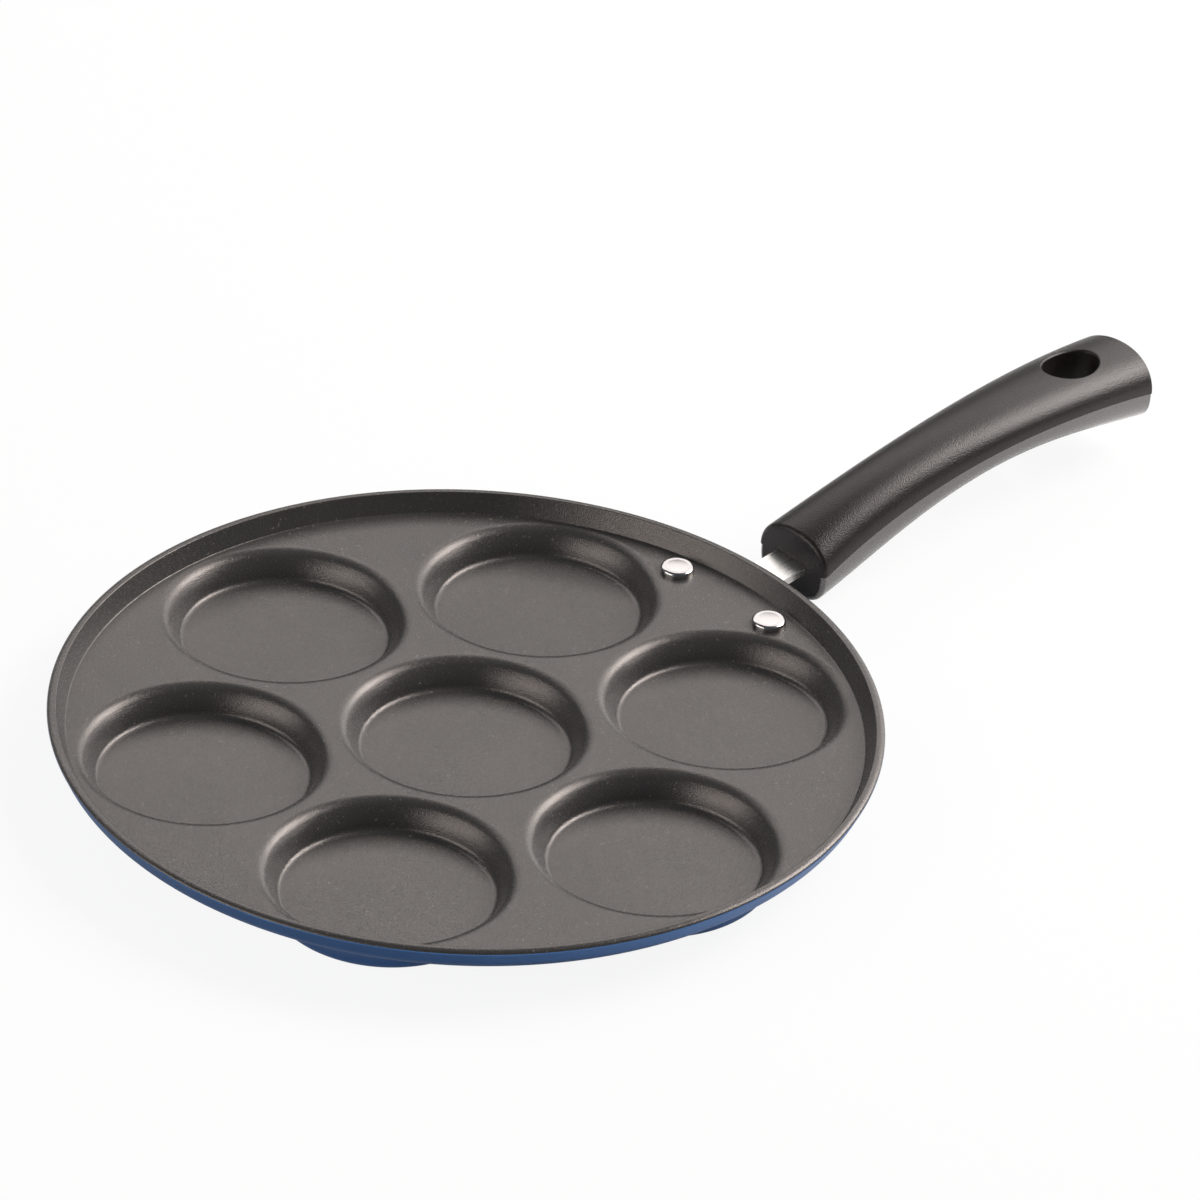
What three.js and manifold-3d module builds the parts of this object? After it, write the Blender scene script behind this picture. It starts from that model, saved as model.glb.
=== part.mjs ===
// Uttapam pan: a pressed, coated aluminium plate with seven shallow cups and a low rim, carried by a
// riveted steel bracket and a moulded bakelite handle. Millimetres, +Z up, the handle along +X.
// The origin is the centre of the middle cup's underside, so the pan stands on the plane z = 0.

import * as THREE from 'three';
import { mergeVertices, toCreasedNormals } from 'three/addons/utils/BufferGeometryUtils.js';
import Module from 'manifold-3d';

const wasm = await Module();
wasm.setup();
const { degToRad, radToDeg } = THREE.MathUtils;

// Cups
const cupDepth = 8.2;
const cupFloorRadius = 29.3; // flat floor of a cup
const cupFloorFillet = 2; // inside, floor to wall
const cupFootAngle = 72; // degrees above level at the foot of the wall
const cupTopAngle = 51; // degrees above level at the top of the wall
const cupMouthFillet = 4.7; // rolled mouth, wall to deck
const cupRidge = 1.55; // flat deck left between two neighbouring mouths
const cupRingCount = 6; // cups round the middle one
const cupRingTurn = 30; // degrees from the handle to the first cup of the ring

// Plate and rim
const plateThickness = 3;
const deckMargin = 0.4; // flat deck left between the outer mouths and the rim
const rimHeight = 5.85; // lip above the deck
const rimLipWidth = 2.8;
const rimLipRadius = 0.6; // softened edges of the lip
const rimInnerLean = 14; // degrees from upright
const rimOuterLean = 17; // degrees from upright
const rimFootRadius = 1.2; // inside, deck to rim
const rimUnderRadius = 7.5; // outside, deck underside to rim

// Rivets
const rivetSpacing = 38; // from rivet to rivet, across the handle
const rivetMouthMargin = 5.5; // from a rivet's axis to the mouth of the cup beside it
const rivetShankRadius = 2.5;
const rivetHeadRadius = 5.1;
const rivetHeadHeight = 2.2;
const rivetHeadEdge = 1; // upright edge below the head's dome
const rivetTailRadius = 4.4;
const rivetTailHeight = 1.5;
const rivetTailChamfer = 0.5;

// Bracket: a joggled strip whose ears are riveted under the deck and whose tongue enters the handle
const bracketThickness = 2.5;
const bracketEarRadius = 7;
const bracketNeckRadius = 6; // hollow corner between the ears and the tongue
const bracketBendRadius = 6; // inside of a bend
const bracketJogAngle = 25; // degrees that the strip rises between its two bends
const bracketRise = 5.15; // tongue above the ears where it enters the handle
const tongueAngle = 6; // degrees that the tongue rises
const tongueWidth = 12.4;
const tongueBare = 10.4; // between the second bend and the handle
const tongueLength = 30; // inside the handle
const tongueCornerRadius = 2.5;

// Handle: sizes at even stations from the front face to the free end
const handleGap = 14.4; // clear space between the rim and the handle
const handleLength = 145.7;
const handleArch = [0, 8.6, 13.4, 14, 10.4]; // parting seam above its height at the front
const handleHalfWidth = [13.8, 11.7, 12.4, 14.3, 15.9];
const handleCrown = [10.5, 9.9, 8.8, 8.9, 10.7]; // top above the seam
const handleBelly = [11, 10.8, 8.3, 9.3, 11]; // underside below the seam
const handleCrownPower = 2.2; // superellipse power of the upper half
const handleBellyPower = 3; // superellipse power of the lower half
const handleSeamStep = 0.4; // lower half set in at the parting seam
const handleFrontEdge = 1.4; // rounded edge of the front face
const handleEndEdge = 0.4; // rounded edge of the free end
const handleEndBow = 54; // radius of the free end in plan
const handleBowPower = 6; // how late along the handle the bow sets in
const hangHoleLength = 20.8; // oval, along the handle
const hangHoleWidth = 14.4;
const hangHoleSetback = 24.2; // from the free end to the hole's axis

// Fixing of the handle: a screw from below, through the tongue, into an insert moulded in the handle
const screwSetback = 12.5; // along the tongue, from the handle's front face
const screwRadius = 2.5;
const screwTipChamfer = 0.5;
const screwTipGap = 0.5; // thread of the insert left free past the tip
const screwHeadRadius = 4.7;
const screwHeadHeight = 2.8;
const screwHeadEdge = 1.4; // upright edge below the head's dome
const screwRecessWidth = 1.2; // arms of the cross recess
const screwRecessSpan = 5.2;
const screwRecessDepth = 1.6;
const screwWeb = 2.4; // bakelite between the tongue's slot and the screw's seat
const washerRadius = 4.5;
const washerThickness = 1.3;
const washerSplit = 14; // degrees cut from the ring
const insertRadius = 4.2;
const insertHeight = 6;
const insertGroove = 0.6; // depth of the groove that keys the insert
const insertGrooveWidth = 2;

// Clearances
const seatGap = 0.2; // between a piece and its seat
const fitGap = 0.3; // round a piece in its hole or slot
const screwRecessGap = 0.6; // round the screw's head in its counterbore

// Facets
const rimSegments = 72;
const cupSegments = 32;
const ovalSegments = 36;
const pinSegments = 20;
const earSteps = 12;
const filletSteps = 2;
const wallSteps = 2;
const bendSteps = 4;
const underSteps = 5;
const domeSteps = 3;
const edgeSteps = 3;
const handleStations = 20;
const handleArcSteps = 14;
const creaseAngle = degToRad(30); // edges sharper than this stay crisp

// Finishes
const coatedAluminium = { color: 0x5d5956, roughness: 0.45, metalness: 0.2 };
const polishedSteel = { color: 0xc9c9c7, roughness: 0.22, metalness: 1 };
const bakelite = { color: 0x47433f, roughness: 0.5, metalness: 0 };
const brightAluminium = { color: 0xd6d6d4, roughness: 0.18, metalness: 1 };
const zincSteel = { color: 0xb9babb, roughness: 0.3, metalness: 1 };
const springSteel = { color: 0xa3a4a5, roughness: 0.35, metalness: 1 };
const brass = { color: 0xb8964f, roughness: 0.35, metalness: 1 };

// A cup's wall bulges inwards: it is one arc, over the height that the two fillets leave.
const footAngle = degToRad(cupFootAngle);
const topAngle = degToRad(cupTopAngle);
const cupFloorRise = cupFloorFillet * (1 - Math.cos(footAngle));
const cupMouthRise = cupMouthFillet * (1 - Math.cos(topAngle));
const cupWallRise = cupDepth - cupFloorRise - cupMouthRise;
const cupWallRadius = cupWallRise / (Math.cos(topAngle) - Math.cos(footAngle));
const cupWallCentre = cupFloorRadius + (cupFloorFillet + cupWallRadius) * Math.sin(footAngle);
const cupMouthRadius = cupWallCentre - (cupWallRadius - cupMouthFillet) * Math.sin(topAngle);
const cupPitch = 2 * cupMouthRadius + cupRidge;
const cupRingRadius = Math.max(cupPitch, cupPitch / (2 * Math.sin(Math.PI / cupRingCount)));

// Deck and rim
const innerLean = degToRad(rimInnerLean);
const outerLean = degToRad(rimOuterLean);
const deckTop = plateThickness + cupDepth;
const deckUnder = deckTop - plateThickness;
const rimTop = deckTop + rimHeight;
const deckRadius = cupRingRadius + cupMouthRadius + deckMargin;
const rimWallRise = rimHeight - rimFootRadius * (1 - Math.sin(innerLean));
const rimInnerTop = deckRadius + rimFootRadius * Math.cos(innerLean) + rimWallRise * Math.tan(innerLean);
const panRadius = rimInnerTop + rimLipWidth;

// Bracket and handle
const bracketTop = deckUnder - seatGap;
const bracketUnder = bracketTop - bracketThickness;
const bracketMid = (bracketTop + bracketUnder) / 2;
const jogSlope = degToRad(bracketJogAngle);
const tongueSlope = degToRad(tongueAngle);
const handleFront = panRadius + handleGap;
const seamFront = bracketMid + bracketRise;
const pastHandle = 3 * Math.max(...handleCrown, ...handleBelly); // reach of a cut that leaves the handle

// Centres of the cups, the middle one first
const cupCentres = [new THREE.Vector2(0, 0)];
for (let i = 0; i < cupRingCount; i += 1) {
  const angle = degToRad(cupRingTurn + (360 * i) / cupRingCount);
  cupCentres.push(new THREE.Vector2(cupRingRadius * Math.cos(angle), cupRingRadius * Math.sin(angle)));
}

// One rivet stands beside the first cup of the ring, and its twin mirrors it across the handle.
const besideCup = cupCentres[1];
const rivetReach = cupMouthRadius + rivetMouthMargin;
const rivetX = besideCup.x + Math.sqrt(rivetReach ** 2 - (besideCup.y - rivetSpacing / 2) ** 2);

// The screw's axis crosses the middle of the tongue, z = 0 in this group, and stands square on it.
const fixing = new THREE.Group();
fixing.position.x = handleFront + screwSetback * Math.cos(tongueSlope);
fixing.position.z = seamFront + screwSetback * Math.sin(tongueSlope);
fixing.rotation.y = -tongueSlope;
fixing.updateMatrix();
const slotHalf = bracketThickness / 2 + fitGap;
const screwSeat = -slotHalf - screwWeb;
const insertFoot = slotHalf;

// A closed geometry as a solid that can be joined and cut
function solidOf(geometry) {
  geometry.deleteAttribute('normal');
  geometry.deleteAttribute('uv');
  const merged = mergeVertices(geometry, 1e-5);
  const index = merged.index.array;
  const faces = [];
  for (let i = 0; i < index.length; i += 3) {
    const [a, b, c] = [index[i], index[i + 1], index[i + 2]];
    if (a !== b && b !== c && c !== a) faces.push(a, b, c);
  }
  const mesh = new wasm.Mesh({
    numProp: 3,
    vertProperties: new Float32Array(merged.attributes.position.array),
    triVerts: new Uint32Array(faces),
  });
  return new wasm.Manifold(mesh);
}

function geometryOf(solid) {
  const mesh = solid.getMesh();
  const geometry = new THREE.BufferGeometry();
  geometry.setAttribute('position', new THREE.BufferAttribute(mesh.vertProperties, 3));
  geometry.setIndex(new THREE.BufferAttribute(mesh.triVerts, 1));
  return toCreasedNormals(geometry, creaseAngle);
}

// A named piece of one material
function piece(name, solid, finish) {
  const mesh = new THREE.Mesh(geometryOf(solid), new THREE.MeshStandardMaterial(finish));
  mesh.name = name;
  return mesh;
}

const at = (x, y) => new THREE.Vector2(x, y);

// Steps of a given length along a slope, and square to it
const along = (slope, length) => at(length * Math.cos(slope), length * Math.sin(slope));
const across = (slope, length) => at(-length * Math.sin(slope), length * Math.cos(slope));

// Profile points along an arc, angles in degrees
function arc(x, y, radius, from, to, steps) {
  const points = [];
  for (let i = 0; i <= steps; i += 1) {
    const angle = degToRad(from + ((to - from) * i) / steps);
    points.push(at(x + radius * Math.cos(angle), y + radius * Math.sin(angle)));
  }
  return points;
}

// Profile points of a domed cap, from its rim up to the axis
function dome(radius, foot, height) {
  const sphere = (radius ** 2 + height ** 2) / (2 * height);
  const span = radToDeg(Math.asin(radius / sphere));
  return arc(0, foot + height - sphere, sphere, 90 - span, 90, domeSteps);
}

// A profile of radius and height, turned about the z axis
function revolve(profile, segments) {
  return new THREE.LatheGeometry(profile, segments).rotateX(Math.PI / 2);
}

function cylinder(radius, low, high, segments = pinSegments) {
  return revolve([at(0, low), at(radius, low), at(radius, high), at(0, high)], segments);
}

// A plan outline raised from one height to another
function raise(shape, low, high) {
  const settings = { depth: high - low, bevelEnabled: false };
  return new THREE.ExtrudeGeometry(shape, settings).translate(0, 0, low);
}

// The plate before its cups are pressed: a disc whose edge turns up into the rim
function blankProfile() {
  const underCentreZ = deckUnder + rimUnderRadius;
  const wallFootZ = underCentreZ - rimUnderRadius * Math.sin(outerLean);
  const wallRun = (rimTop - wallFootZ) * Math.tan(outerLean);
  const underCentreX = panRadius - wallRun - rimUnderRadius * Math.cos(outerLean);
  const lip = rimTop - rimLipRadius;
  return [
    at(0, deckUnder),
    ...arc(underCentreX, underCentreZ, rimUnderRadius, -90, -rimOuterLean, underSteps),
    ...arc(panRadius - rimLipRadius, lip, rimLipRadius, -rimOuterLean, 90, filletSteps),
    ...arc(rimInnerTop + rimLipRadius, lip, rimLipRadius, 90, 180 - rimInnerLean, filletSteps),
    ...arc(deckRadius, deckTop + rimFootRadius, rimFootRadius, -rimInnerLean, -90, filletSteps),
    at(0, deckTop),
  ];
}

// The wall of one cup, from its floor to the deck, a given thickness outside the hollow
function cupWall(thickness) {
  const floorZ = plateThickness + cupFloorFillet;
  const wallZ = deckTop - cupMouthFillet - (cupWallRadius - cupMouthFillet) * Math.cos(topAngle);
  const mouthZ = deckTop - cupMouthFillet;
  const foot = cupFootAngle + 90;
  const top = cupTopAngle + 90;
  return [
    ...arc(cupFloorRadius, floorZ, cupFloorFillet + thickness, -90, cupFootAngle - 90, filletSteps),
    ...arc(cupWallCentre, wallZ, cupWallRadius - thickness, foot, top, wallSteps).slice(1),
    ...arc(cupMouthRadius, mouthZ, cupMouthFillet - thickness, top, 90, edgeSteps).slice(1),
  ];
}

// The outside of one cup, up to the middle of the plate
function cupOutsideProfile() {
  const top = (deckTop + deckUnder) / 2;
  return [at(0, 0), ...cupWall(plateThickness), at(cupMouthRadius, top), at(0, top)];
}

// The hollow of one cup, up past the rim
function cupHollowProfile() {
  return [at(0, plateThickness), ...cupWall(0), at(cupMouthRadius, rimTop), at(0, rimTop)];
}

// A hole for one rivet's shank, on the left (1) or the right (-1) of the handle
function rivetHole(side) {
  const hole = cylinder(rivetShankRadius + fitGap, 0, rimTop);
  return solidOf(hole.translate(rivetX, (side * rivetSpacing) / 2, 0));
}

function panBody() {
  const outside = revolve(cupOutsideProfile(), cupSegments);
  const hollow = revolve(cupHollowProfile(), cupSegments);
  let body = solidOf(revolve(blankProfile(), rimSegments));
  for (const centre of cupCentres) {
    body = body.add(solidOf(outside.clone().translate(centre.x, centre.y, 0)));
  }
  for (const centre of cupCentres) {
    body = body.subtract(solidOf(hollow.clone().translate(centre.x, centre.y, 0)));
  }
  return body.subtract(rivetHole(1)).subtract(rivetHole(-1));
}

// A domed head on the deck, a shank through plate and ear, and a flat tail below
function rivet() {
  const headFoot = deckTop + seatGap;
  const tailTop = bracketUnder - seatGap;
  const tailFoot = tailTop - rivetTailHeight;
  const profile = [
    at(0, tailFoot),
    at(rivetTailRadius - rivetTailChamfer, tailFoot),
    at(rivetTailRadius, tailFoot + rivetTailChamfer),
    at(rivetTailRadius, tailTop),
    at(rivetShankRadius, tailTop),
    at(rivetShankRadius, headFoot),
    at(rivetHeadRadius, headFoot),
    ...dome(rivetHeadRadius, headFoot + rivetHeadEdge, rivetHeadHeight - rivetHeadEdge),
  ];
  return solidOf(revolve(profile, pinSegments));
}

// Side of the bracket strip: level under the deck, up to the second bend, then along the tongue
function bracketSide() {
  const half = bracketThickness / 2;
  const radius = bracketBendRadius + half;
  const upper = at(handleFront, seamFront).sub(along(tongueSlope, tongueBare));
  const lower = at(upper.x - (upper.y - bracketMid) / Math.tan(jogSlope), bracketMid);
  const lowerBend = lower.clone().sub(at(radius * Math.tan(jogSlope / 2), -radius));
  const upperStart = along(jogSlope, radius * Math.tan((jogSlope - tongueSlope) / 2));
  const upperBend = upper.clone().sub(upperStart).sub(across(jogSlope, radius));
  const tip = at(handleFront, seamFront).add(along(tongueSlope, tongueLength));
  const inner = rivetX - bracketEarRadius;
  const bend = (centre, size, from, to) => arc(centre.x, centre.y, size, from, to, bendSteps);
  return new THREE.Shape([
    at(inner, bracketUnder),
    ...bend(lowerBend, radius + half, -90, bracketJogAngle - 90),
    ...bend(upperBend, radius - half, bracketJogAngle + 90, tongueAngle + 90),
    tip.clone().sub(across(tongueSlope, half)),
    tip.clone().add(across(tongueSlope, half)),
    ...bend(upperBend, radius + half, tongueAngle + 90, bracketJogAngle + 90),
    ...bend(lowerBend, radius - half, bracketJogAngle - 90, -90),
    at(inner, bracketTop),
  ]);
}

// Plan of the bracket: two round ears joined by a bar, and the tongue with its rounded tip
function bracketPlan() {
  const ear = rivetSpacing / 2;
  const half = tongueWidth / 2;
  const neckX = rivetX + bracketEarRadius + bracketNeckRadius;
  const neckY = half + bracketNeckRadius;
  const lowerCorner = (bracketThickness / 2) * Math.sin(tongueSlope);
  const tip = handleFront + tongueLength * Math.cos(tongueSlope) + lowerCorner;
  const cornerX = tip - tongueCornerRadius;
  const cornerY = half - tongueCornerRadius;
  return new THREE.Shape([
    ...arc(rivetX, -ear, bracketEarRadius, 180, 360, earSteps),
    ...arc(neckX, -neckY, bracketNeckRadius, 180, 90, bendSteps),
    ...arc(cornerX, -cornerY, tongueCornerRadius, -90, 0, bendSteps),
    ...arc(cornerX, cornerY, tongueCornerRadius, 0, 90, bendSteps),
    ...arc(neckX, neckY, bracketNeckRadius, 270, 180, bendSteps),
    ...arc(rivetX, ear, bracketEarRadius, 0, 180, earSteps),
  ]);
}

function bracket() {
  const earSpan = rivetSpacing + 2 * bracketEarRadius;
  const strip = raise(bracketSide(), -earSpan, earSpan).rotateX(Math.PI / 2);
  const blank = raise(bracketPlan(), 0, deckTop + tongueLength);
  const cupNotch = cylinder(cupMouthRadius + fitGap, 0, deckTop, cupSegments);
  const screwHole = cylinder(screwRadius + fitGap, -bracketThickness, bracketThickness);
  let body = solidOf(strip).intersect(solidOf(blank));
  for (const centre of cupCentres) {
    body = body.subtract(solidOf(cupNotch.clone().translate(centre.x, centre.y, 0)));
  }
  body = body.subtract(rivetHole(1)).subtract(rivetHole(-1));
  return body.subtract(solidOf(screwHole.applyMatrix4(fixing.matrix)));
}

// A smooth curve through values at even stations, t running from 0 to 1
function through(values, t) {
  const place = t * (values.length - 1);
  let sum = 0;
  values.forEach((value, i) => {
    let weight = 1;
    values.forEach((_, j) => {
      if (j !== i) weight *= (place - j) / (i - j);
    });
    sum += weight * value;
  });
  return sum;
}

// Half of a superellipse, from one side over its top (or under its bottom) to the other
function halfSection(width, depth, power, from) {
  const points = [];
  for (let i = 0; i <= handleArcSteps; i += 1) {
    const angle = degToRad(from + (180 * i) / handleArcSteps);
    const side = Math.cos(angle);
    const rise = Math.sin(angle);
    const y = width * Math.sign(side) * Math.abs(side) ** (2 / power);
    const z = depth * Math.sign(rise) * Math.abs(rise) ** (2 / power);
    points.push(at(y, z));
  }
  return points;
}

// One closed section of the handle, bowed in plan towards the free end
function handleSection(distance, inset) {
  const t = distance / handleLength;
  const width = through(handleHalfWidth, t) - inset;
  const crown = halfSection(width, through(handleCrown, t) - inset, handleCrownPower, 0);
  const bellyDepth = through(handleBelly, t) - inset;
  const belly = halfSection(width - handleSeamStep, bellyDepth, handleBellyPower, 180);
  const seam = seamFront + through(handleArch, t);
  return [...crown, ...belly].map((point) => {
    const bow = handleEndBow - Math.sqrt(handleEndBow ** 2 - point.x ** 2);
    const x = handleFront + distance - bow * t ** handleBowPower;
    return new THREE.Vector3(x, point.x, seam + point.y);
  });
}

// Skin over a row of closed sections, with each end ruled from its crown to its belly
function loft(sections) {
  const count = sections[0].length;
  const lastRow = (sections.length - 1) * count;
  const index = [];
  const quad = (a, b, c, d) => index.push(a, b, c, a, c, d);
  for (let row = 0; row < lastRow; row += count) {
    for (let j = 0; j < count; j += 1) {
      const next = (j + 1) % count;
      quad(row + j, row + next, row + count + next, row + count + j);
    }
  }
  for (let j = 0; j + 1 < count / 2; j += 1) {
    const under = count - 1 - j;
    quad(j, under, under - 1, j + 1);
    quad(lastRow + j, lastRow + j + 1, lastRow + under - 1, lastRow + under);
  }
  const positions = sections.flat().flatMap((point) => point.toArray());
  const geometry = new THREE.BufferGeometry();
  geometry.setAttribute('position', new THREE.Float32BufferAttribute(positions, 3));
  geometry.setIndex(index);
  return geometry;
}

// Sections of a rounded edge, given as places along the handle and insets
function roundedEdge(radius, start, direction) {
  return arc(0, 0, radius, 0, 90, edgeSteps).map(({ x, y }) => {
    return { place: start + direction * (radius - x), inset: radius - y };
  });
}

function handleGrip() {
  const stations = roundedEdge(handleFrontEdge, 0, 1);
  const clear = handleLength - handleFrontEdge - handleEndEdge;
  for (let i = 1; i < handleStations; i += 1) {
    stations.push({ place: handleFrontEdge + (clear * i) / handleStations, inset: 0 });
  }
  stations.push(...roundedEdge(handleEndEdge, handleLength, -1).reverse());
  const body = solidOf(loft(stations.map(({ place, inset }) => handleSection(place, inset))));

  const slotLength = handleGap + tongueLength + fitGap;
  const slotMiddle = tongueLength + fitGap - screwSetback - slotLength / 2;
  const slot = new THREE.BoxGeometry(slotLength, tongueWidth + 2 * fitGap, 2 * slotHalf);
  const cuts = [
    slot.translate(slotMiddle, 0, 0),
    cylinder(screwRadius + fitGap, -pastHandle, 0),
    cylinder(screwHeadRadius + screwRecessGap, -pastHandle, screwSeat),
    cylinder(insertRadius + fitGap, 0, insertFoot + insertHeight + seatGap),
  ];
  const oval = new THREE.EllipseCurve(0, 0, hangHoleLength / 2, hangHoleWidth / 2);
  const ovalPoints = oval.getPoints(ovalSegments).slice(0, -1);
  const hangHole = raise(new THREE.Shape(ovalPoints), -pastHandle, pastHandle);
  hangHole.translate(handleFront + handleLength - hangHoleSetback, 0, seamFront + through(handleArch, 1));
  return cuts.reduce(
    (rest, cut) => rest.subtract(solidOf(cut.applyMatrix4(fixing.matrix))),
    body.subtract(solidOf(hangHole)),
  );
}

// Pan-head screw with a cross recess, made head up and then turned over
function screw() {
  const headFoot = -(screwSeat - 2 * seatGap - washerThickness);
  const tip = -(insertFoot + insertHeight - screwTipGap);
  const profile = [
    at(0, tip),
    at(screwRadius - screwTipChamfer, tip),
    at(screwRadius, tip + screwTipChamfer),
    at(screwRadius, headFoot),
    at(screwHeadRadius, headFoot),
    ...dome(screwHeadRadius, headFoot + screwHeadEdge, screwHeadHeight - screwHeadEdge),
  ];
  const recessFoot = headFoot + screwHeadHeight - screwRecessDepth;
  const arm = new THREE.BoxGeometry(screwRecessSpan, screwRecessWidth, 2 * screwRecessDepth);
  arm.translate(0, 0, recessFoot + screwRecessDepth);
  const crossArm = arm.clone().rotateZ(Math.PI / 2);
  const cuts = [arm, crossArm].map((cut) => solidOf(cut.rotateX(Math.PI)));
  return solidOf(revolve(profile, pinSegments).rotateX(Math.PI)).subtract(cuts[0]).subtract(cuts[1]);
}

// Split ring between the screw's head and its seat in the handle
function springWasher() {
  const inner = screwRadius + fitGap;
  const half = washerSplit / 2;
  const ring = new THREE.Shape([
    ...arc(0, 0, washerRadius, half, 360 - half, pinSegments),
    ...arc(0, 0, inner, 360 - half, half, pinSegments),
  ]);
  const top = screwSeat - seatGap;
  return solidOf(raise(ring, top - washerThickness, top));
}

// Turned insert with a groove that keys it in the moulding
function threadedInsert() {
  const bore = screwRadius + fitGap;
  const middle = insertFoot + insertHeight / 2;
  const top = insertFoot + insertHeight;
  const waist = insertRadius - insertGroove;
  const profile = [
    at(bore, insertFoot),
    at(insertRadius, insertFoot),
    at(insertRadius, middle - insertGrooveWidth / 2),
    at(waist, middle - insertGrooveWidth / 2),
    at(waist, middle + insertGrooveWidth / 2),
    at(insertRadius, middle + insertGrooveWidth / 2),
    at(insertRadius, top),
    at(bore, top),
    at(bore, insertFoot),
  ];
  return solidOf(revolve(profile, pinSegments));
}

const pan = new THREE.Group();
pan.add(piece('pan_body', panBody(), coatedAluminium));
pan.add(piece('handle_bracket', bracket(), polishedSteel));
pan.add(piece('handle_grip', handleGrip(), bakelite));

for (const [name, side] of [['rivet_left', 1], ['rivet_right', -1]]) {
  const fastener = piece(name, rivet(), brightAluminium);
  fastener.position.set(rivetX, (side * rivetSpacing) / 2, 0);
  pan.add(fastener);
}

fixing.add(piece('handle_screw', screw(), zincSteel));
fixing.add(piece('spring_washer', springWasher(), springSteel));
fixing.add(piece('threaded_insert', threadedInsert(), brass));
pan.add(fixing);

export default pan;
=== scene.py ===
# Uttapam pan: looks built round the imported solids. +Z is up and the handle runs along +X.
# Sizes are written in millimetres, and a mesh comes to metres when it is finished.
import math

import bmesh
import bpy
from mathutils import Matrix, Vector


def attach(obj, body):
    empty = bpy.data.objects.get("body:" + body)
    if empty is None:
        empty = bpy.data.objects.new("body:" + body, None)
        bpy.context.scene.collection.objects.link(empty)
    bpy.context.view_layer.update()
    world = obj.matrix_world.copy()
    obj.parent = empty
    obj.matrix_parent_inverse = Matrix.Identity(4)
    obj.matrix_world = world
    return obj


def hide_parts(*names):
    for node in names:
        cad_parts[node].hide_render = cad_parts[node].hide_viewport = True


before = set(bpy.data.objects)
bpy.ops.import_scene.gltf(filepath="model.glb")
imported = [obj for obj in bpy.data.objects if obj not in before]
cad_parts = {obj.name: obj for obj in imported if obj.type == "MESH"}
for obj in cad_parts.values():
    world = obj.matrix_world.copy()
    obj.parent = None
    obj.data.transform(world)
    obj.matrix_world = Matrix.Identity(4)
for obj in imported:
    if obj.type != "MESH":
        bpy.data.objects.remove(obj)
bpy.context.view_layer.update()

scene = bpy.context.scene
scene.view_settings.view_transform = "Standard"
MM = 0.001

# Plate and cups. A cup's wall bulges inwards: one arc, between its floor's fillet and its rolled mouth.
PLATE = 3.0
CUP_DEPTH = 8.2
CUP_FLOOR_RADIUS = 29.3
CUP_FLOOR_FILLET = 2.0
CUP_FOOT = math.radians(72)  # above level, at the foot of the wall
CUP_TOP = math.radians(51)  # above level, at the top of the wall
CUP_MOUTH_FILLET = 4.7
CUP_RIDGE = 1.55  # flat deck between two mouths
CUP_WALL_RISE = (
    CUP_DEPTH
    - CUP_FLOOR_FILLET * (1 - math.cos(CUP_FOOT))
    - CUP_MOUTH_FILLET * (1 - math.cos(CUP_TOP))
)
CUP_WALL_RADIUS = CUP_WALL_RISE / (math.cos(CUP_TOP) - math.cos(CUP_FOOT))
CUP_WALL_CENTRE = CUP_FLOOR_RADIUS + (CUP_FLOOR_FILLET + CUP_WALL_RADIUS) * math.sin(CUP_FOOT)
CUP_MOUTH_RADIUS = CUP_WALL_CENTRE - (CUP_WALL_RADIUS - CUP_MOUTH_FILLET) * math.sin(CUP_TOP)
CUP_RING = 2 * CUP_MOUTH_RADIUS + CUP_RIDGE
CUPS_IN_RING = 6
CUP_RING_TURN = 30  # degrees from the handle to the nearest cup
CUP_TURNS = [math.radians(CUP_RING_TURN + 360 / CUPS_IN_RING * i) for i in range(CUPS_IN_RING)]
CUP_CENTRES = [(0, 0)] + [(CUP_RING * math.cos(turn), CUP_RING * math.sin(turn)) for turn in CUP_TURNS]
CUP_SEGMENTS = 160
DECK_TOP = PLATE + CUP_DEPTH
DECK_UNDER = CUP_DEPTH
DECK_MARGIN = 0.4  # from the outer mouths to the deck's edge
DECK_RADIUS = CUP_RING + CUP_MOUTH_RADIUS + DECK_MARGIN

# Rim, with leans and turns in degrees
RIM_TOP = 17.05
RIM_FOOT_RADIUS = DECK_RADIUS - DECK_MARGIN
RIM_WALL_RUN = 2.5  # from the deck's edge out to the top of the inner wall
RIM_WIDTH = 2.696  # across the lip
RIM_INNER_TOP = DECK_RADIUS + RIM_WALL_RUN
PAN_RADIUS = RIM_INNER_TOP + RIM_WIDTH
RIM_INNER_LEAN = 25  # from upright
RIM_OUTER_LEAN = 17
RIM_FOOT = 0.5  # fillet between the deck and the inner wall
RIM_UNDER = 7.5  # radius of the turn from the underside to the outer wall
RIM_LIP = 0.4  # radius of the lip's inner edge
RIM_ROLL = 2.4  # radius of the lip where it rolls over to the outside
RIM_ROLL_TURN = 35
RIM_EDGE = 0.8  # radius of the lip's outer edge
RIM_SEGMENTS = 256
COATING_END = 15  # above level, where the coating gives way to the lacquer
COATED = 0  # the plate's first finish
LACQUERED = 1
FACES_DOWN = -0.99  # upward share of a normal, below which a face is on the underside

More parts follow.
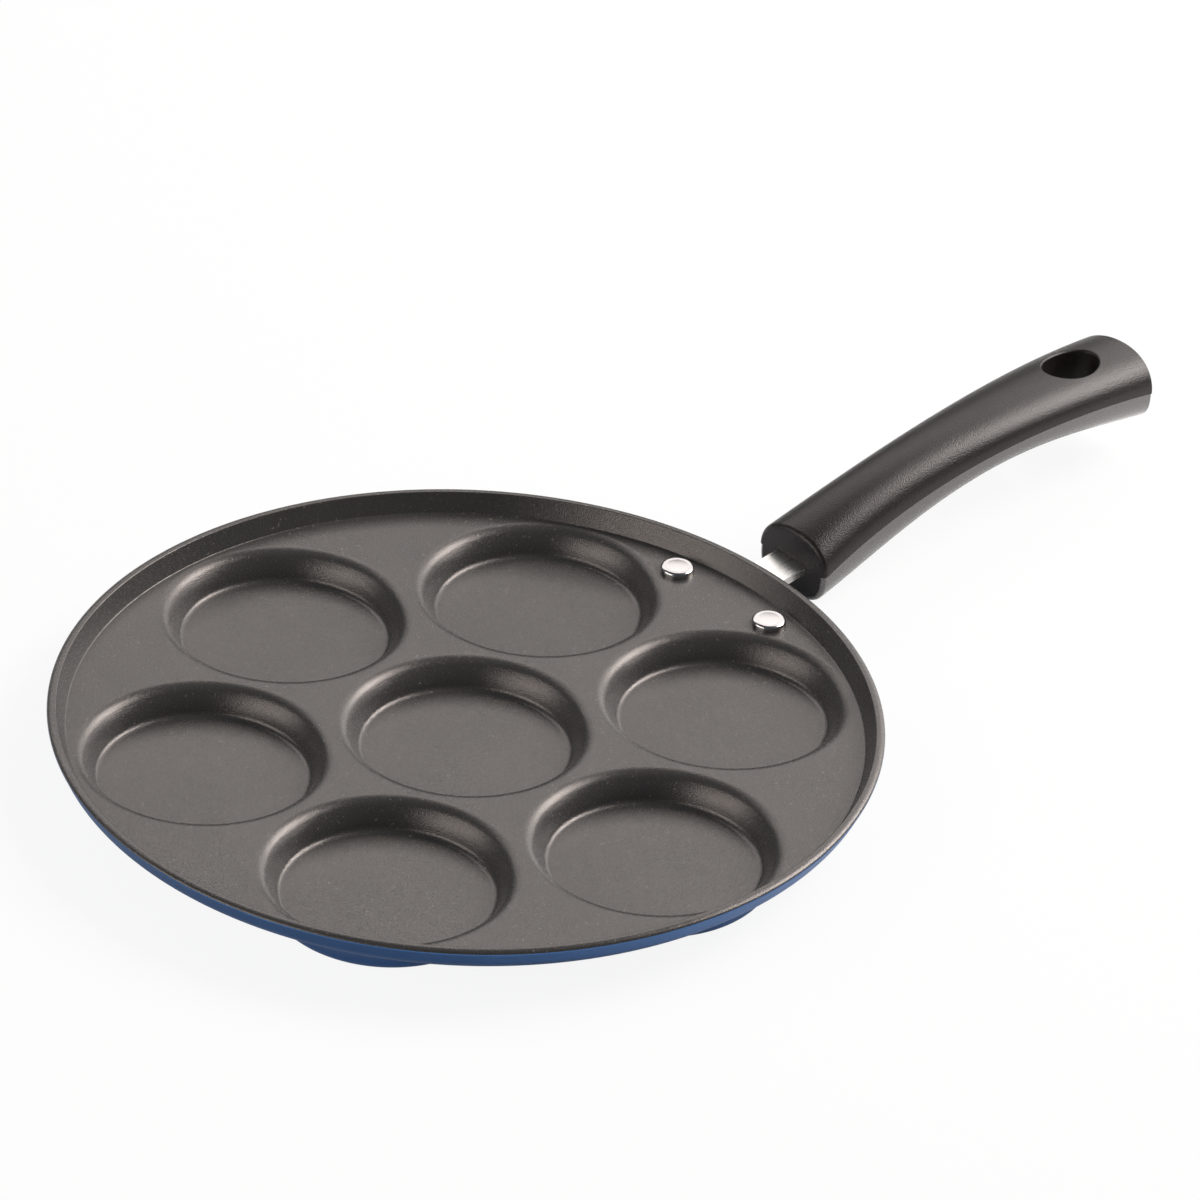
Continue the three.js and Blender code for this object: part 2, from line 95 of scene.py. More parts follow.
# Rivets. The head's top, and the tail's foot and top, are heights above the ground.
RIVET_SPOTS = [(104.99, 19.0), (104.99, -19.0)]
RIVET_HEAD = 5.1
RIVET_HEAD_EDGE = 1.0
RIVET_EDGE_TURN = 85  # degrees
RIVET_TOP = 13.25
RIVET_DOME = 60
RIVET_DOME_SPAN = (86.5, 89.8)  # degrees above level, from the head's edge to near its middle
RIVET_SHANK = 2.5
RIVET_CLEARANCE = 0.3
RIVET_HOLE_SEGMENTS = 32
RIVET_HOLE_PROUD = 1
RIVET_TAIL = 4.4
RIVET_TAIL_CHAMFER = 0.5
RIVET_TAIL_FOOT = 3.8
RIVET_TAIL_TOP = 5.3
ROUND_SEGMENTS = 64  # of a rivet and of the screw's recess

# Handle: sizes at even stations from the front face to the free end
HANDLE_FRONT = 134.381
HANDLE_LENGTH = 145.7
SEAM_FRONT = 11.9
ARCH = (0, 8.6, 13.4, 14, 10.4)
HALF_WIDTH = (13.8, 11.7, 12.4, 14.3, 15.9)
CROWN = (10.5, 9.9, 8.8, 8.9, 10.7)
BELLY = (11.3, 12.2, 9.2, 9.9, 11.7)
CROWN_POWER = 2.2
BELLY_POWER = 3
SEAM_STEP = 0.4
FRONT_EDGE = 1.4
END_EDGE = 0.5
EDGE_STEPS = 6
END_BOW = 54
BOW_POWER = 6
END_CLOSING = (0.85, 0.6, 0.3, 0.02)  # sizes of the rings that close the free end
HANDLE_STEPS = 72
SECTION_STEPS = 40  # over the crown, and again under the belly
HOLE_SETBACK = 24.2
HOLE_X = HANDLE_FRONT + HANDLE_LENGTH - HOLE_SETBACK
HOLE_HALF = (10.4, 7.2)
HOLE_EDGE = 0.9
HOLE_EDGE_START = 25  # degrees that the rounded edge has turned where it meets the surface
HOLE_EDGE_STEPS = 5
HOLE_FLARE = 1  # spare width of the cutting shape, outside the handle
HOLE_PROUD = 2  # and its spare height
HOLE_STEPS = 96

# Fixing inside the handle: the tongue's slot and the screw, square to the tongue
TONGUE_SLOPE = math.radians(6)
TONGUE_SLOT = (44.7, 12.5, 2.56)
SLOT_END = 30.3  # along the tongue from the handle's front
SCREW_SETBACK = 12.5
SCREW_BORE = 2.8
RECESS_RADIUS = 5.3
RECESS_FOOT = -30  # from the tongue, well below the handle
RECESS_SEAT = -3.95

# Bracket, with angles in degrees
BRACKET_ROUND = 0.45
BRACKET_FLAT = 2  # the most that faces of one flat differ
BRACKET_CORNER = 40  # the least turn of a stamped edge

# Pattern sizes and depths of the finishes
COATING_CLOUD = 30
COATING_FLECK = 0.9
COATING_GRAIN = 0.35
COATING_DEPTH = 0.09
LACQUER_CLOUD = 22
LACQUER_PEEL = 1.6
LACQUER_DEPTH = 0.02
RESIN_CLOUD = 14
RESIN_ETCH = 0.45


# Meshes


def arc(x, y, radius, start, end, steps):
    """Points along an arc, with angles in degrees."""
    turns = [math.radians(start + (end - start) * i / steps) for i in range(steps + 1)]
    return [(x + radius * math.cos(t), y + radius * math.sin(t)) for t in turns]


def turned(bm, profile, segments, centre=(0, 0), finish=0):
    """Turns a profile of radius and height about an upright axis."""
    before = set(bm.faces)
    verts = [bm.verts.new((centre[0] + radius, centre[1], height)) for radius, height in profile]
    edges = [bm.edges.new(pair) for pair in zip(verts, verts[1:])]
    bmesh.ops.spin(
        bm,
        geom=verts + edges,
        cent=(*centre, 0),
        axis=(0, 0, 1),
        angle=math.tau,
        steps=segments,
        use_merge=True,
    )
    for face in set(bm.faces) - before:
        face.material_index = finish


def skin(bm, rings):
    """A skin over a row of rings with as many points each, made by extruding the first ring."""
    place = bm.verts.layers.int.new("place")
    verts = [bm.verts.new(point) for point in rings[0]]
    for i, vert in enumerate(verts):
        vert[place] = i
    edges = [bm.edges.new(pair) for pair in zip(verts, verts[1:] + verts[:1])]
    for ring in rings[1:]:
        grown = bmesh.ops.extrude_edge_only(bm, edges=edges)["geom"]
        verts = {item for item in grown if isinstance(item, bmesh.types.BMVert)}
        strips = [item for item in grown if isinstance(item, bmesh.types.BMEdge)]
        edges = [edge for edge in strips if verts.issuperset(edge.verts)]
        for vert in verts:
            vert.co = ring[vert[place]]


def closed(bm):
    """Merges the seams, fills what is open and turns the faces outwards."""
    bmesh.ops.remove_doubles(bm, verts=bm.verts, dist=1e-4)
    bmesh.ops.holes_fill(bm, edges=[edge for edge in bm.edges if edge.is_boundary], sides=0)
    bmesh.ops.recalc_face_normals(bm, faces=bm.faces)


def repeated(bm, spots):
    """Puts a copy of a shape made at the origin on each spot in plan, and deletes the first."""
    first = bm.verts[:]
    seed = first + bm.edges[:] + bm.faces[:]
    for spot in spots:
        copy = bmesh.ops.duplicate(bm, geom=seed)["geom"]
        verts = [item for item in copy if isinstance(item, bmesh.types.BMVert)]
        bmesh.ops.translate(bm, vec=(*spot, 0), verts=verts)
    bmesh.ops.delete(bm, geom=first, context="VERTS")


def as_object(name, bm, *finishes):
    """An object in the scene from a bmesh, with its finishes in the order of their slots."""
    mesh = bpy.data.meshes.new(name)
    bm.to_mesh(mesh)
    bm.free()
    for finish in finishes:
        mesh.materials.append(finish)
    piece = bpy.data.objects.new(name, mesh)
    scene.collection.objects.link(piece)
    return piece


def carve(body, tool, operation):
    """Joins a mesh to another, or cuts it with another, and leaves only the result."""
    change = body.modifiers.new("carve", "BOOLEAN")
    change.operation = operation
    change.solver = "MANIFOLD"
    change.object = tool
    before = body.data
    graph = bpy.context.evaluated_depsgraph_get()
    body.data = bpy.data.meshes.new_from_object(body.evaluated_get(graph))
    body.modifiers.clear()
    bpy.data.meshes.remove(before)
    bpy.data.objects.remove(tool)


def finished(piece, node, crease=35):
    """Brings a millimetre mesh to metres, smooths it and puts it in its solid's place."""
    piece.data.transform(Matrix.Scale(MM, 4))
    settled(piece, node, crease)


def settled(piece, node, crease=35):
    """Smooths a mesh up to its creases, with flats kept flat, and puts it in its solid's place."""
    piece.data.shade_smooth()
    piece.data.set_sharp_from_angle(angle=math.radians(crease))
    flats = piece.modifiers.new("flats", "WEIGHTED_NORMAL")
    flats.keep_sharp = True
    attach(piece, "root")
    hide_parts(node)


# Finishes


def linear(code):
    """Linear colour of an sRGB hex code."""
    parts = [int(code[i : i + 2], 16) / 255 for i in (1, 3, 5)]
    return [c / 12.92 if c <= 0.04045 else ((c + 0.055) / 1.055) ** 2.4 for c in parts] + [1.0]


def per(size):
    """Texture scale for a pattern of that size in millimetres."""
    return 1 / (size * MM)


def add(tree, kind, links=None, **settings):
    """One node with its settings, and with values or other nodes' outputs on its sockets."""
    made = tree.nodes.new(kind)
    for name, value in settings.items():
        setattr(made, name, value)
    for key, value in (links or {}).items():
        if isinstance(value, bpy.types.NodeSocket):
            tree.links.new(value, made.inputs[key])
        else:
            made.inputs[key].default_value = value
    return made


def started(name):
    """A new material with its shader and the object's coordinates."""
    material = bpy.data.materials.new(name)
    material.use_nodes = True
    tree = material.node_tree
    tree.nodes.clear()
    shader = add(tree, "ShaderNodeBsdfPrincipled")
    add(tree, "ShaderNodeOutputMaterial", {"Surface": shader.outputs["BSDF"]})
    place = add(tree, "ShaderNodeTexCoord").outputs["Object"]
    return material, tree, shader, place


def nonstick_coating():
    # PTFE sprayed and baked on blasted aluminium: a satin dark grey with a fine orange peel,
    # pale mineral flecks and a grain, matt and glossy by turns, that glitters where a wall faces a lamp.
    # The grain is drawn several times coarser than it is, so that it shows.
    material, tree, shader, place = started("ptfe_nonstick_coating")
    cloud = add(tree, "ShaderNodeTexNoise", {"Vector": place, "Scale": per(COATING_CLOUD), "Detail": 3})
    tone = add(tree, "ShaderNodeMapRange", {"Value": cloud.outputs[0], "From Min": 0.3, "From Max": 0.7})
    ground = add(
        tree,
        "ShaderNodeMix",
        {0: tone.outputs[0], 6: linear("#3a3938"), 7: linear("#413f3e")},
        data_type="RGBA",
    )
    grit = add(tree, "ShaderNodeTexNoise", {"Vector": place, "Scale": per(COATING_FLECK), "Detail": 2})
    fleck = add(tree, "ShaderNodeMapRange", {"Value": grit.outputs[0], "From Min": 0.67, "From Max": 0.76})
    colour = add(
        tree,
        "ShaderNodeMix",
        {0: fleck.outputs[0], 6: ground.outputs[2], 7: linear("#7d7874")},
        data_type="RGBA",
    )
    grain = add(tree, "ShaderNodeTexNoise", {"Vector": place, "Scale": per(COATING_GRAIN), "Detail": 1})
    satin = add(
        tree,
        "ShaderNodeMapRange",
        {"Value": grain.outputs[0], "From Min": 0.3, "From Max": 0.7, "To Min": 0.34, "To Max": 0.12},
    )
    peel = add(
        tree,
        "ShaderNodeBump",
        {"Strength": 1, "Distance": COATING_DEPTH * MM, "Height": grain.outputs[0]},
    )
    tree.links.new(colour.outputs[2], shader.inputs["Base Color"])
    tree.links.new(satin.outputs[0], shader.inputs["Roughness"])
    tree.links.new(peel.outputs[0], shader.inputs["Normal"])
    shader.inputs["Specular IOR Level"].default_value = 0.65
    shader.inputs["Specular Tint"].default_value = (1, 0.89, 0.83, 1)
    return material


def metallic_lacquer():
    # Heat-proof metallic lacquer, sprayed on the outside: blue flake that goes from navy in the shade to
    # sky blue where it mirrors the table, with a slow orange peel.
    material, tree, shader, place = started("metallic_blue_lacquer")
    cloud = add(tree, "ShaderNodeTexNoise", {"Vector": place, "Scale": per(LACQUER_CLOUD), "Detail": 2})
    colour = add(
        tree,
        "ShaderNodeMix",
        {0: cloud.outputs[0], 6: linear("#456a9c"), 7: linear("#5077ab")},
        data_type="RGBA",
    )
    wave = add(tree, "ShaderNodeTexNoise", {"Vector": place, "Scale": per(LACQUER_PEEL), "Detail": 1})
    peel = add(
        tree,
        "ShaderNodeBump",
        {"Strength": 1, "Distance": LACQUER_DEPTH * MM, "Height": wave.outputs[0]},
    )
    tree.links.new(colour.outputs[2], shader.inputs["Base Color"])
    tree.links.new(peel.outputs[0], shader.inputs["Normal"])
    shader.inputs["Metallic"].default_value = 1
    shader.inputs["Roughness"].default_value = 0.38
    return material


def phenolic_resin(name, specular, smooth, rough, depth, coat):
    # Phenolic moulding compound: near black and warm, satin where the mould was etched and glossy
    # where it was polished. The etch is drawn coarser than it is, so that it shows.
    material, tree, shader, place = started(name)
    cloud = add(tree, "ShaderNodeTexNoise", {"Vector": place, "Scale": per(RESIN_CLOUD), "Detail": 3})
    colour = add(
        tree,
        "ShaderNodeMix",
        {0: cloud.outputs[0], 6: linear("#1b1817"), 7: linear("#221e1c")},
        data_type="RGBA",
    )
    etch = add(tree, "ShaderNodeTexNoise", {"Vector": place, "Scale": per(RESIN_ETCH), "Detail": 1})
    satin = add(
        tree,
        "ShaderNodeMapRange",
        {"Value": etch.outputs[0], "From Min": 0.3, "From Max": 0.7, "To Min": smooth, "To Max": rough},
    )
    bump = add(tree, "ShaderNodeBump", {"Strength": 1, "Distance": depth * MM, "Height": etch.outputs[0]})
    tree.links.new(colour.outputs[2], shader.inputs["Base Color"])
    tree.links.new(satin.outputs[0], shader.inputs["Roughness"])
    tree.links.new(bump.outputs[0], shader.inputs["Normal"])
    shader.inputs["Specular IOR Level"].default_value = specular
    shader.inputs["Specular Tint"].default_value = (1, 0.94, 0.92, 1)
    shader.inputs["Coat Weight"].default_value = coat
    shader.inputs["Coat Roughness"].default_value = 0.2
    shader.inputs["Coat IOR"].default_value = 1.6
    return material


def polished_metal(name, dark, pale, smooth, rough, grain):
    # Bare metal: its grain runs along the handle and shows as faint streaks of tone and gloss.
    # It is drawn coarser than it is, so that it shows.
    material, tree, shader, place = started(name)
    drawn = add(tree, "ShaderNodeMapping", {"Vector": place, "Scale": (0.08, 1, 1)})
    lines = add(tree, "ShaderNodeTexNoise", {"Vector": drawn.outputs[0], "Scale": per(grain), "Detail": 3})
    colour = add(
        tree,
        "ShaderNodeMix",
        {0: lines.outputs[0], 6: linear(dark), 7: linear(pale)},
        data_type="RGBA",
    )
    satin = add(
        tree,
        "ShaderNodeMapRange",
        {"Value": lines.outputs[0], "From Min": 0.3, "From Max": 0.7, "To Min": smooth, "To Max": rough},
    )
    tree.links.new(colour.outputs[2], shader.inputs["Base Color"])
    tree.links.new(satin.outputs[0], shader.inputs["Roughness"])
    shader.inputs["Metallic"].default_value = 1
    return material


# Pieces


def cup_wall(thickness):
    """Profile of a cup from its floor to the deck, that thickness outside its hollow."""
    foot = math.degrees(CUP_FOOT)
    top = math.degrees(CUP_TOP)
    floor = PLATE + CUP_FLOOR_FILLET
    roll = DECK_TOP - CUP_MOUTH_FILLET
    wall = roll - (CUP_WALL_RADIUS - CUP_MOUTH_FILLET) * math.cos(CUP_TOP)
    return (
        arc(CUP_FLOOR_RADIUS, floor, CUP_FLOOR_FILLET + thickness, -90, foot - 90, steps=12)
        + arc(CUP_WALL_CENTRE, wall, CUP_WALL_RADIUS - thickness, foot + 90, top + 90, steps=10)[1:]
        + arc(CUP_MOUTH_RADIUS, roll, CUP_MOUTH_FILLET - thickness, top + 90, 90, steps=14)[1:]
    )


def pan(coating, lacquer):
    """The pressed plate: a disc with its rim, joined to seven cups and hollowed by them."""
    foot = arc(RIM_FOOT_RADIUS, DECK_TOP + RIM_FOOT, RIM_FOOT, -90, -RIM_INNER_LEAN, steps=6)
    brow = arc(RIM_INNER_TOP + RIM_LIP, RIM_TOP - RIM_LIP, RIM_LIP, 180 - RIM_INNER_LEAN, 90, steps=5)
    roll_end = math.radians(90 - RIM_ROLL_TURN)
    roll_x = PAN_RADIUS - RIM_EDGE - (RIM_ROLL - RIM_EDGE) * math.cos(roll_end)
    edge_x = PAN_RADIUS - RIM_EDGE
    edge_z = RIM_TOP - RIM_ROLL + (RIM_ROLL - RIM_EDGE) * math.sin(roll_end)
    roll = arc(roll_x, RIM_TOP - RIM_ROLL, RIM_ROLL, 90, 90 - RIM_ROLL_TURN, steps=6)
    coated_edge = arc(edge_x, edge_z, RIM_EDGE, 90 - RIM_ROLL_TURN, COATING_END, steps=5)
    lacquered_edge = arc(edge_x, edge_z, RIM_EDGE, COATING_END, -RIM_OUTER_LEAN, steps=4)
    lean = math.radians(RIM_OUTER_LEAN)
    under_z = DECK_UNDER + RIM_UNDER
    wall_run = (RIM_TOP - under_z + RIM_UNDER * math.sin(lean)) * math.tan(lean)
    under_x = PAN_RADIUS - wall_run - RIM_UNDER * math.cos(lean)
    under = arc(under_x, under_z, RIM_UNDER, -RIM_OUTER_LEAN, -90, steps=14)
    blank = bmesh.new()
    turned(blank, foot + brow + roll + coated_edge[1:], RIM_SEGMENTS, finish=COATED)
    turned(blank, lacquered_edge + under, RIM_SEGMENTS, finish=LACQUERED)
    closed(blank)
    for face in blank.faces:
        if face.normal.z < FACES_DOWN:
            face.material_index = LACQUERED
    body = as_object("pressed_plate", blank, coating, lacquer)

    for name, profile, finish, operation in (
        ("cups", cup_wall(PLATE) + [(CUP_MOUTH_RADIUS, DECK_UNDER + PLATE / 2)], LACQUERED, "UNION"),
        ("hollows", cup_wall(0) + [(CUP_MOUTH_RADIUS, RIM_TOP)], COATED, "DIFFERENCE"),
    ):
        bm = bmesh.new()
        turned(bm, profile, CUP_SEGMENTS)
        closed(bm)
        repeated(bm, CUP_CENTRES)
        for face in bm.faces:
            face.material_index = finish
        carve(body, as_object(name, bm, coating, lacquer), operation)

    holes = bmesh.new()
    radius = RIVET_SHANK + RIVET_CLEARANCE
    turned(holes, [(radius, DECK_UNDER - RIVET_HOLE_PROUD), (radius, RIM_TOP)], RIVET_HOLE_SEGMENTS)
    closed(holes)
    repeated(holes, RIVET_SPOTS)
    carve(body, as_object("rivet_holes", holes, coating, lacquer), "DIFFERENCE")
    finished(body, "pan_body")


def through(values, t):
    """A smooth curve through values at even stations, t running from 0 to 1."""
    last = len(values) - 1
    total = 0
    for i, value in enumerate(values):
        weight = 1
        for j in range(last + 1):
            if j != i:
                weight *= (t * last - j) / (i - j)
        total += weight * value
    return total


def half_section(width, rise, power):
    """Half of a superellipse from one side to the other, over the top, or under for a negative rise."""
    points = []
    for i in range(SECTION_STEPS + 1):
        turn = math.radians(180 * i / SECTION_STEPS)
        side = round(math.cos(turn), 9)
        up = round(math.sin(turn), 9)
        points.append((width * math.copysign(abs(side) ** (2 / power), side), rise * up ** (2 / power)))
    return points


def handle_ring(distance, inset, shrink=1):
    """One section of the handle: crown, parting seam and belly."""
    t = distance / HANDLE_LENGTH
    width = through(HALF_WIDTH, t) - inset
    crown = half_section(width, through(CROWN, t) - inset, CROWN_POWER)
    belly = half_section(width - SEAM_STEP, inset - through(BELLY, t), BELLY_POWER)
    seam = SEAM_FRONT + through(ARCH, t)
    ring = []
    for y, z in crown + belly[::-1]:
        bow = END_BOW - math.sqrt(END_BOW**2 - (y * shrink) ** 2)
        ring.append((HANDLE_FRONT + distance - bow * t**BOW_POWER, y * shrink, seam + z * shrink))
    return ring


def handle_height(x, y, up):
    """Height of the handle's crown, or of its belly, at a point in plan."""
    t = (x - HANDLE_FRONT) / HANDLE_LENGTH
    rises, power = (CROWN, CROWN_POWER) if up > 0 else (BELLY, BELLY_POWER)
    bulge = (1 - abs(y / through(HALF_WIDTH, t)) ** power) ** (1 / power)
    return SEAM_FRONT + through(ARCH, t) + up * through(rises, t) * bulge


def hole_ring(grow, sink, up):
    """The hanging hole's outline, that much wider and that far below the handle's surface."""
    ring = []
    for i in range(HOLE_STEPS):
        turn = math.tau * i / HOLE_STEPS
        x = HOLE_X + (HOLE_HALF[0] + grow) * math.cos(turn)
        y = (HOLE_HALF[1] + grow) * math.sin(turn)
        ring.append((x, y, handle_height(x, y, up) - up * sink))
    return ring


def handle(etched, glossy):
    """The arched grip with its slot, screw recess and hanging hole."""
    rounds = [math.radians(90 * i / EDGE_STEPS) for i in range(EDGE_STEPS + 1)]
    front = [(FRONT_EDGE * (1 - math.cos(turn)), FRONT_EDGE * (1 - math.sin(turn))) for turn in rounds]
    end = [
        (HANDLE_LENGTH - END_EDGE * (1 - math.cos(turn)), END_EDGE * (1 - math.sin(turn)))
        for turn in rounds
    ]
    clear = HANDLE_LENGTH - FRONT_EDGE - END_EDGE
    length = [(FRONT_EDGE + clear * i / HANDLE_STEPS, 0) for i in range(1, HANDLE_STEPS)]
    rings = [handle_ring(*station) for station in front + length + end[::-1]]
    rings += [handle_ring(*end[0], shrink) for shrink in END_CLOSING]
    bm = bmesh.new()
    skin(bm, rings)
    for face in bm.faces:
        middle = face.calc_center_median()
        t = (middle.x - HANDLE_FRONT) / HANDLE_LENGTH
        face.material_index = int(middle.z < SEAM_FRONT + through(ARCH, t))
    closed(bm)
    body = as_object("grip", bm, etched, glossy)

    hole = bmesh.new()
    turns = [
        math.radians(HOLE_EDGE_START + (90 - HOLE_EDGE_START) * i / HOLE_EDGE_STEPS)
        for i in range(HOLE_EDGE_STEPS + 1)
    ]
    edge = [(HOLE_EDGE * (1 - math.sin(turn)), HOLE_EDGE * (1 - math.cos(turn))) for turn in turns]
    skin(
        hole,
        [hole_ring(HOLE_EDGE + HOLE_FLARE, -HOLE_PROUD, 1)]
        + [hole_ring(grow, sink, 1) for grow, sink in edge]
        + [hole_ring(grow, sink, -1) for grow, sink in edge[::-1]]
        + [hole_ring(HOLE_EDGE + HOLE_FLARE, -HOLE_PROUD, -1)],
    )
    closed(hole)
    carve(body, as_object("hanging_hole", hole, etched, glossy), "DIFFERENCE")

    fixing = Matrix.Translation(
        (
            HANDLE_FRONT + SCREW_SETBACK * math.cos(TONGUE_SLOPE),
            0,
            SEAM_FRONT + SCREW_SETBACK * math.sin(TONGUE_SLOPE),
        )
    ) @ Matrix.Rotation(-TONGUE_SLOPE, 4, "Y")
    cuts = bmesh.new()
    bmesh.ops.create_cube(cuts, size=1)
    bmesh.ops.scale(cuts, vec=TONGUE_SLOT, verts=cuts.verts)
    bmesh.ops.translate(cuts, vec=(SLOT_END - SCREW_SETBACK - TONGUE_SLOT[0] / 2, 0, 0), verts=cuts.verts)
    bmesh.ops.transform(cuts, matrix=fixing, verts=cuts.verts)
    closed(cuts)
    carve(body, as_object("tongue_slot", cuts, etched, glossy), "DIFFERENCE")

    recess = bmesh.new()
    turned(
        recess,
        [
            (RECESS_RADIUS, RECESS_FOOT),
            (RECESS_RADIUS, RECESS_SEAT),
            (SCREW_BORE, RECESS_SEAT),
            (SCREW_BORE, 0),
        ],
        ROUND_SEGMENTS,
    )
    bmesh.ops.transform(recess, matrix=fixing, verts=recess.verts)
    closed(recess)
    carve(body, as_object("screw_recess", recess, etched, glossy), "DIFFERENCE")
    finished(body, "handle_grip", crease=40)


def rivet(name, spot, metal):
    """A polished button head on the deck, a shank and a flat tail under the bracket's ear."""
    edge_x = RIVET_HEAD - RIVET_HEAD_EDGE
    edge_z = DECK_TOP + RIVET_HEAD_EDGE
    bm = bmesh.new()
    turned(
        bm,
        [
            (RIVET_TAIL - RIVET_TAIL_CHAMFER, RIVET_TAIL_FOOT),
            (RIVET_TAIL, RIVET_TAIL_FOOT + RIVET_TAIL_CHAMFER),
            (RIVET_TAIL, RIVET_TAIL_TOP),
            (RIVET_SHANK, RIVET_TAIL_TOP),
            (RIVET_SHANK, DECK_TOP),
            (RIVET_HEAD, DECK_TOP),
        ]
        + arc(edge_x, edge_z, RIVET_HEAD_EDGE, 0, RIVET_EDGE_TURN, steps=10)
        + arc(0, RIVET_TOP - RIVET_DOME, RIVET_DOME, *RIVET_DOME_SPAN, steps=8),
        ROUND_SEGMENTS,
        spot,
    )
    closed(bm)
    finished(as_object(name + "_polished", bm, metal), name, crease=50)


def bracket(metal):
    """The strip with its stamped edges rounded over."""
    bm = bmesh.new()
    bm.from_mesh(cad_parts["handle_bracket"].data)
    bmesh.ops.remove_doubles(bm, verts=bm.verts, dist=1e-6)
    bmesh.ops.dissolve_limit(
        bm,
        angle_limit=math.radians(BRACKET_FLAT),
        verts=bm.verts,
        edges=bm.edges,
        use_dissolve_boundaries=False,
    )
    corners = [edge for edge in bm.edges if edge.calc_face_angle(0) > math.radians(BRACKET_CORNER)]
    bmesh.ops.bevel(
        bm,
        geom=corners,
        offset=BRACKET_ROUND * MM,
        segments=3,
        profile=0.5,
        affect="EDGES",
        clamp_overlap=True,
        material=-1,
    )
    settled(as_object("bracket_strip", bm, metal), "handle_bracket")


pan(nonstick_coating(), metallic_lacquer())
handle(
    phenolic_resin(
        "phenolic_resin_from_an_etched_mould", specular=0.38, smooth=0.29, rough=0.41, depth=0.11, coat=0
    ),
    phenolic_resin(
        "phenolic_resin_from_a_polished_mould", specular=1, smooth=0.24, rough=0.3, depth=0.03, coat=1
    ),
)
steel = polished_metal("polished_stainless_steel", "#d0cecb", "#e4e2df", smooth=0.24, rough=0.36, grain=0.8)
bracket(steel)
bright = polished_metal("polished_aluminium", "#b3afae", "#c0bcbb", smooth=0.19, rough=0.23, grain=1.5)
for name, spot in zip(("rivet_left", "rivet_right"), RIVET_SPOTS):
    rivet(name, spot, bright)

# Hidden fixing parts, whose solids stay
zinc = polished_metal("zinc_plated_steel", "#a9abad", "#c4c6c8", smooth=0.24, rough=0.36, grain=0.7)
spring = polished_metal("spring_steel", "#8f9092", "#a8a9ab", smooth=0.3, rough=0.42, grain=0.6)
brass = polished_metal("turned_brass", "#b08f4a", "#c4a45e", smooth=0.26, rough=0.38, grain=0.6)
for name, metal in (("handle_screw", zinc), ("spring_washer", spring), ("threaded_insert", brass)):
    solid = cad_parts[name].data
    solid.materials.clear()
    solid.materials.append(metal)

# Camera, at the photograph's viewing angle
AZIMUTH = math.radians(-46.429)
ELEVATION = math.radians(32.551)
ROLL = math.radians(3.355)
EYE_ACROSS = 38.737  # from the middle of the centre cup's floor
EYE_UPWARD = 42.728
EYE_BACK = 1979.437
SENSOR_WIDTH = 36
LENS = 206.654
back = Vector(
    (
        math.sin(AZIMUTH) * math.cos(ELEVATION),
        -math.cos(AZIMUTH) * math.cos(ELEVATION),
        math.sin(ELEVATION),
    )
)
level = Vector((math.cos(AZIMUTH), math.sin(AZIMUTH), 0))
across = math.cos(ROLL) * level + math.sin(ROLL) * back.cross(level)
upward = back.cross(across)
eye = (across * EYE_ACROSS + upward * EYE_UPWARD + back * EYE_BACK + Vector((0, 0, PLATE))) * MM
camera = bpy.data.objects.new("camera", bpy.data.cameras.new("camera"))
camera.data.sensor_width = SENSOR_WIDTH
camera.data.lens = LENS
camera.data.clip_end = 100
camera.matrix_world = Matrix.Translation(eye) @ Matrix((across, upward, back)).transposed().to_4x4()
scene.collection.objects.link(camera)
scene.camera = camera

# Light: softboxes named for where they stand as seen from the camera. Each row has metres rightward,
# away from the camera and up, then the width, the height and the radiance.
LAMP_COLOUR = (1, 0.97, 0.95)
away = Vector((math.sin(-AZIMUTH), math.cos(AZIMUTH), 0))
for name, rightward, forward, up, width, height, radiance in (
    ("back_softbox", 0, 1.23, 1.03, 2.6, 0.74, 2.18),
    ("right_softbox", 1.07, 0.5, 0.92, 0.85, 0.85, 12.0),
    ("left_softbox", -1.17, -0.68, 0.54, 1.5, 0.8, 3.1),
    ("low_softbox", 0.77, 1.17, 0.34, 1.0, 0.5, 2.2),
):
    lamp = bpy.data.lights.new(name, "AREA")
    lamp.shape = "RECTANGLE"
    lamp.color = LAMP_COLOUR
    lamp.size = width
    lamp.size_y = height
    lamp.energy = radiance * math.pi * width * height
    holder = bpy.data.objects.new(name, lamp)
    holder.location = level * rightward + away * forward + Vector((0, 0, up))
    holder.rotation_euler = (-holder.location).to_track_quat("-Z", "Y").to_euler()
    holder.visible_camera = False
    scene.collection.objects.link(holder)

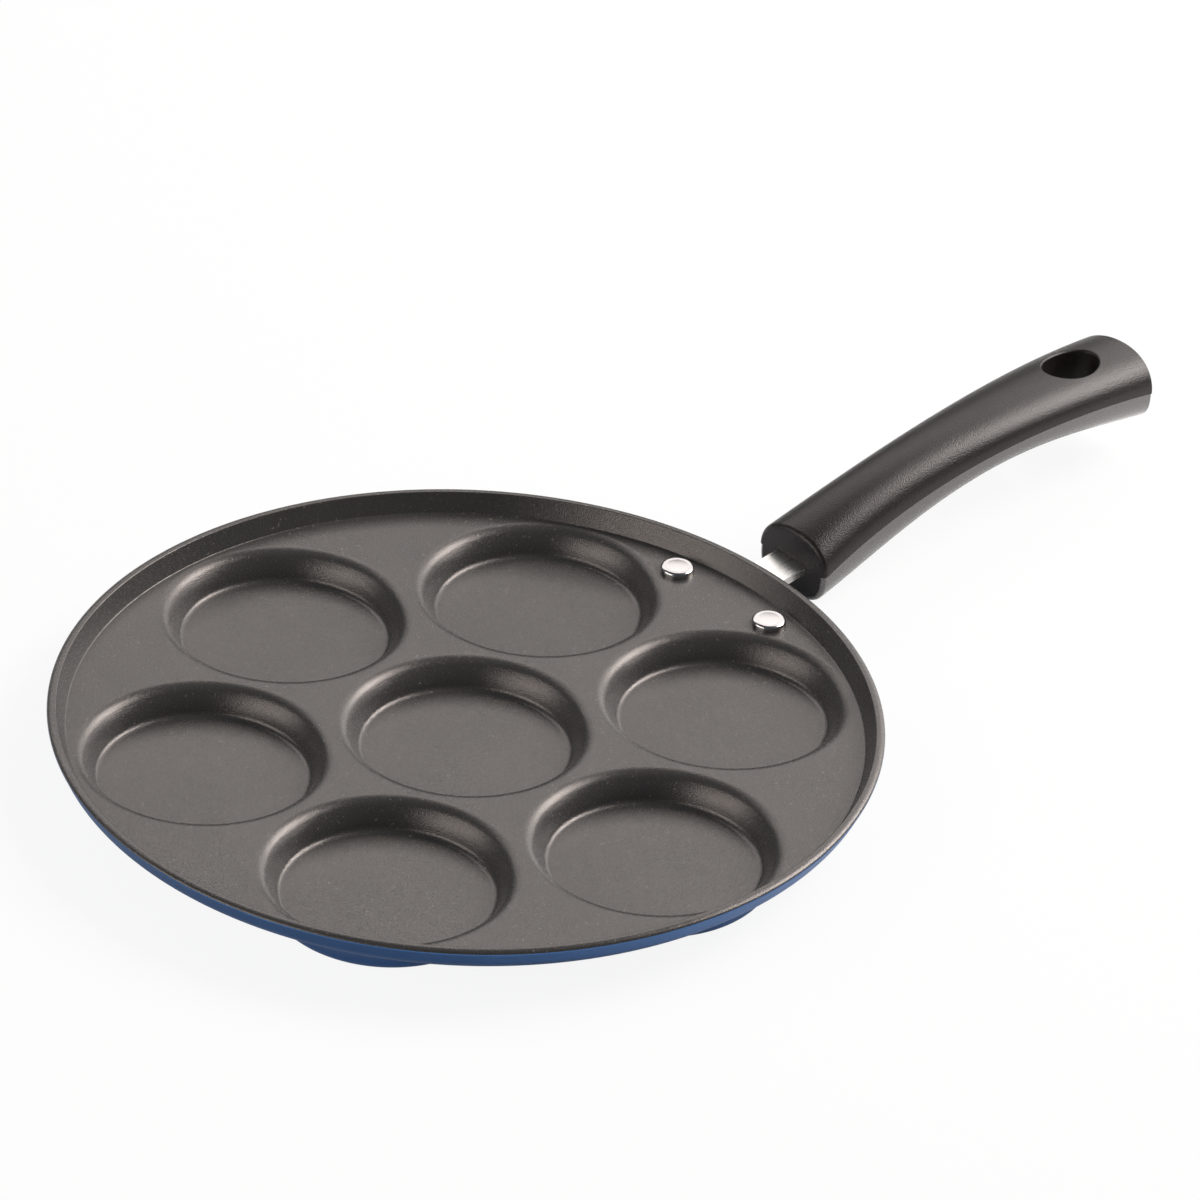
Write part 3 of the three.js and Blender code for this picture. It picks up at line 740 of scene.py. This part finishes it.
# World: white behind the object, and a faint cool light on it
WHITE = (1, 1, 1, 1)
FAINT_LIGHT = (0.075, 0.085, 0.095, 1)
world = bpy.data.worlds.new("studio")
world.use_nodes = True
sky = world.node_tree
seen = add(sky, "ShaderNodeLightPath").outputs["Is Camera Ray"]
level_light = add(sky, "ShaderNodeMix", {0: seen, 6: FAINT_LIGHT, 7: WHITE}, data_type="RGBA")
sky.links.new(level_light.outputs[2], sky.nodes["Background"].inputs["Color"])
scene.world = world

# Floor: white where the camera or a shiny surface sees it, with a part of the shadow kept, and clear
# from below. Its sizes are in metres.
FLOOR_RADIUS = 1.1
FLOOR_HEIGHT = -0.0003
SEEN_WHITE = 0.9  # share of plain white
MIRRORED_WHITE = 0.12
paper = bpy.data.materials.new("white_paper")
paper.use_nodes = True
tree = paper.node_tree
tree.nodes.clear()
ray = add(tree, "ShaderNodeLightPath")
looks = add(
    tree,
    "ShaderNodeMath",
    {0: ray.outputs["Is Camera Ray"], 1: ray.outputs["Is Transmission Ray"]},
    operation="MAXIMUM",
)
seen_share = add(tree, "ShaderNodeMath", {0: looks.outputs[0], 1: SEEN_WHITE}, operation="MULTIPLY")
share = add(
    tree,
    "ShaderNodeMath",
    {0: ray.outputs["Is Glossy Ray"], 1: MIRRORED_WHITE, 2: seen_share.outputs[0]},
    operation="MULTIPLY_ADD",
)
lit = add(tree, "ShaderNodeBsdfDiffuse", {"Color": linear("#e2e2e2")})
white = add(tree, "ShaderNodeEmission", {"Color": WHITE, "Strength": 1})
mixed = add(tree, "ShaderNodeMixShader", {0: share.outputs[0], 1: lit.outputs[0], 2: white.outputs[0]})
below = add(tree, "ShaderNodeNewGeometry").outputs["Backfacing"]
clear = add(tree, "ShaderNodeBsdfTransparent")
open_below = add(tree, "ShaderNodeMixShader", {0: below, 1: mixed.outputs[0], 2: clear.outputs[0]})
add(tree, "ShaderNodeOutputMaterial", {"Surface": open_below.outputs[0]})
ground = bmesh.new()
bmesh.ops.create_circle(ground, cap_ends=True, segments=96, radius=FLOOR_RADIUS)
bmesh.ops.translate(ground, vec=(0, 0, FLOOR_HEIGHT), verts=ground.verts)
as_object("floor", ground, paper)
